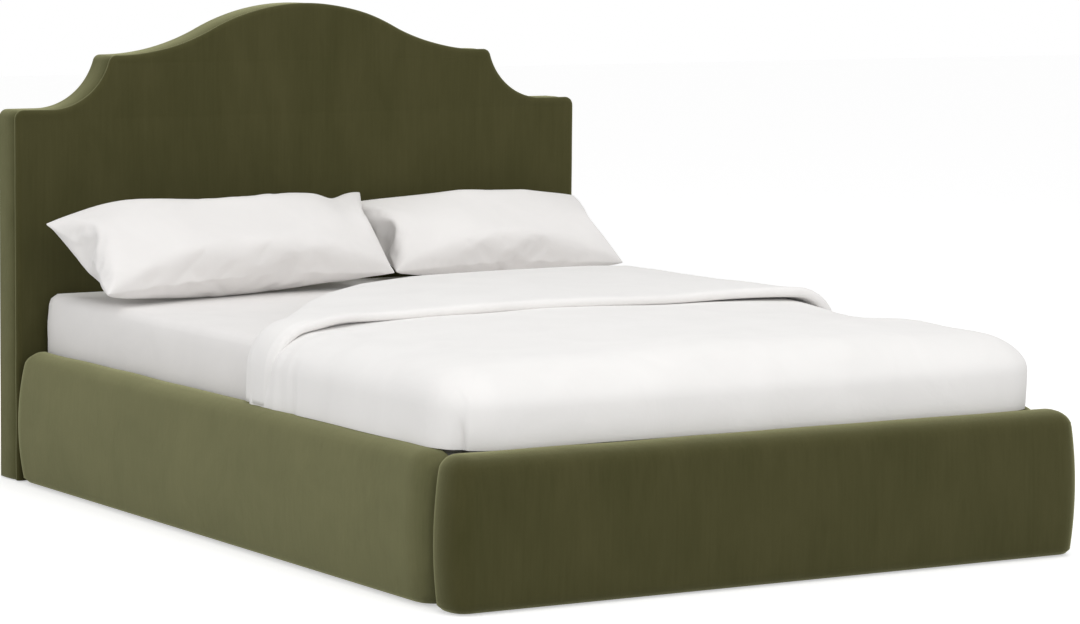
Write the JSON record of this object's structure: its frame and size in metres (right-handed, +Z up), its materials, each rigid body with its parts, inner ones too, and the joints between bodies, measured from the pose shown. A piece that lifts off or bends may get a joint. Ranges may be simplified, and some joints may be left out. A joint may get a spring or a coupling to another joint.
{
  "type": "upholstered headboard bed",
  "caption": "Padded fabric bed with a curved headboard, slatted base, mattress, duvet and pillows.",
  "frame": {"origin": "middle of the footprint, on the floor under the glides", "axes": "+Z up; +Y towards the headboard, along the bed; +X to the right seen from the foot"},
  "size_m": [1.7, 2.332, 1.22],
  "materials": {
    "velvet": "matte",
    "upholstery_foam": "matte",
    "plywood": "matte",
    "pine": "matte",
    "leg_wood": "satin",
    "slat_wood": "matte",
    "lining_cloth": "matte",
    "webbing": "matte",
    "bracket_steel": "satin",
    "zinc_fastener": "satin",
    "glide_plastic": "matte",
    "mattress_foam": "matte",
    "comfort_foam": "matte",
    "ticking": "matte",
    "sheet_cotton": "matte",
    "duvet_cotton": "matte",
    "duvet_fill": "matte",
    "pillow_cotton": "matte",
    "pillow_fill": "matte"
  },
  "bodies": {
    "bed_frame": {"beam_hanger_foot": "bracket_steel", "beam_hanger_head": "bracket_steel", "bracket_bolts": "zinc_fastener", "bracket_screws": "zinc_fastener", "centre_beam": "pine", "corner_bracket_foot_left": "bracket_steel", "corner_bracket_foot_right": "bracket_steel", "corner_bracket_head_left": "bracket_steel", "corner_bracket_head_right": "bracket_steel", "foot_rail_blocks": "pine", "foot_rail_bottom_batten": "pine", "foot_rail_cover": "velvet", "foot_rail_foam": "upholstery_foam", "foot_rail_front_board": "plywood", "foot_rail_inner_board": "plywood", "foot_rail_top_batten": "pine", "glides": "glide_plastic", "hanger_screws": "zinc_fastener", "headboard_back_cloth": "lining_cloth", "headboard_bottom_rail": "pine", "headboard_boxing": "velvet", "headboard_centre_stile": "pine", "headboard_edge_foam": "upholstery_foam", "headboard_fixing_blocks": "plywood", "headboard_front_cover": "velvet", "headboard_front_foam": "upholstery_foam", "headboard_middle_rail": "pine", "headboard_panel": "plywood", "headboard_stile_left": "pine", "headboard_stile_right": "pine", "headboard_top_rail": "pine", "ledger_screws": "zinc_fastener", "leg_dowel_screws": "zinc_fastener", "side_ledger_left": "pine", "side_ledger_right": "pine", "side_rail_board_left": "plywood", "side_rail_board_right": "plywood", "side_rail_cover_left": "velvet", "side_rail_cover_right": "velvet", "side_rail_foam_left": "upholstery_foam", "side_rail_foam_right": "upholstery_foam", "support_leg_foot": "leg_wood", "support_leg_head": "leg_wood", "support_leg_middle": "leg_wood", "tee_nuts": "zinc_fastener"},
    "slat_base": {"slats": "slat_wood", "slat_straps": "webbing"},
    "mattress": {"mattress_base_cloth": "ticking", "mattress_support_core": "mattress_foam", "mattress_comfort_layer": "comfort_foam", "mattress_ticking": "ticking", "fitted_sheet": "sheet_cotton"},
    "duvet": {"duvet_cover": "duvet_cotton", "duvet_fill": "duvet_fill"},
    "pillow_right": {"pillow_case_right": "pillow_cotton", "pillow_fill_right": "pillow_fill"},
    "pillow_left": {"pillow_case_left": "pillow_cotton", "pillow_fill_left": "pillow_fill"}
  },
  "joints": [
    {"name": "slat_base_lift", "type": "slide", "parent": "bed_frame", "child": "slat_base", "axis": [0, 0, 1], "range_m": [0, 0.25]},
    {"name": "mattress_lift", "type": "slide", "parent": "slat_base", "child": "mattress", "axis": [0, 0, 1], "range_m": [0, 0.45]},
    {"name": "duvet_lift", "type": "slide", "parent": "mattress", "child": "duvet", "axis": [0, 0, 1], "range_m": [0, 0.45]},
    {"name": "pillow_right_lift", "type": "slide", "parent": "mattress", "child": "pillow_right", "axis": [0, 0, 1], "range_m": [0, 0.45]},
    {"name": "pillow_left_lift", "type": "slide", "parent": "pillow_right", "child": "pillow_left", "axis": [0, 0, 1], "range_m": [0, 0.45]}
  ]
}
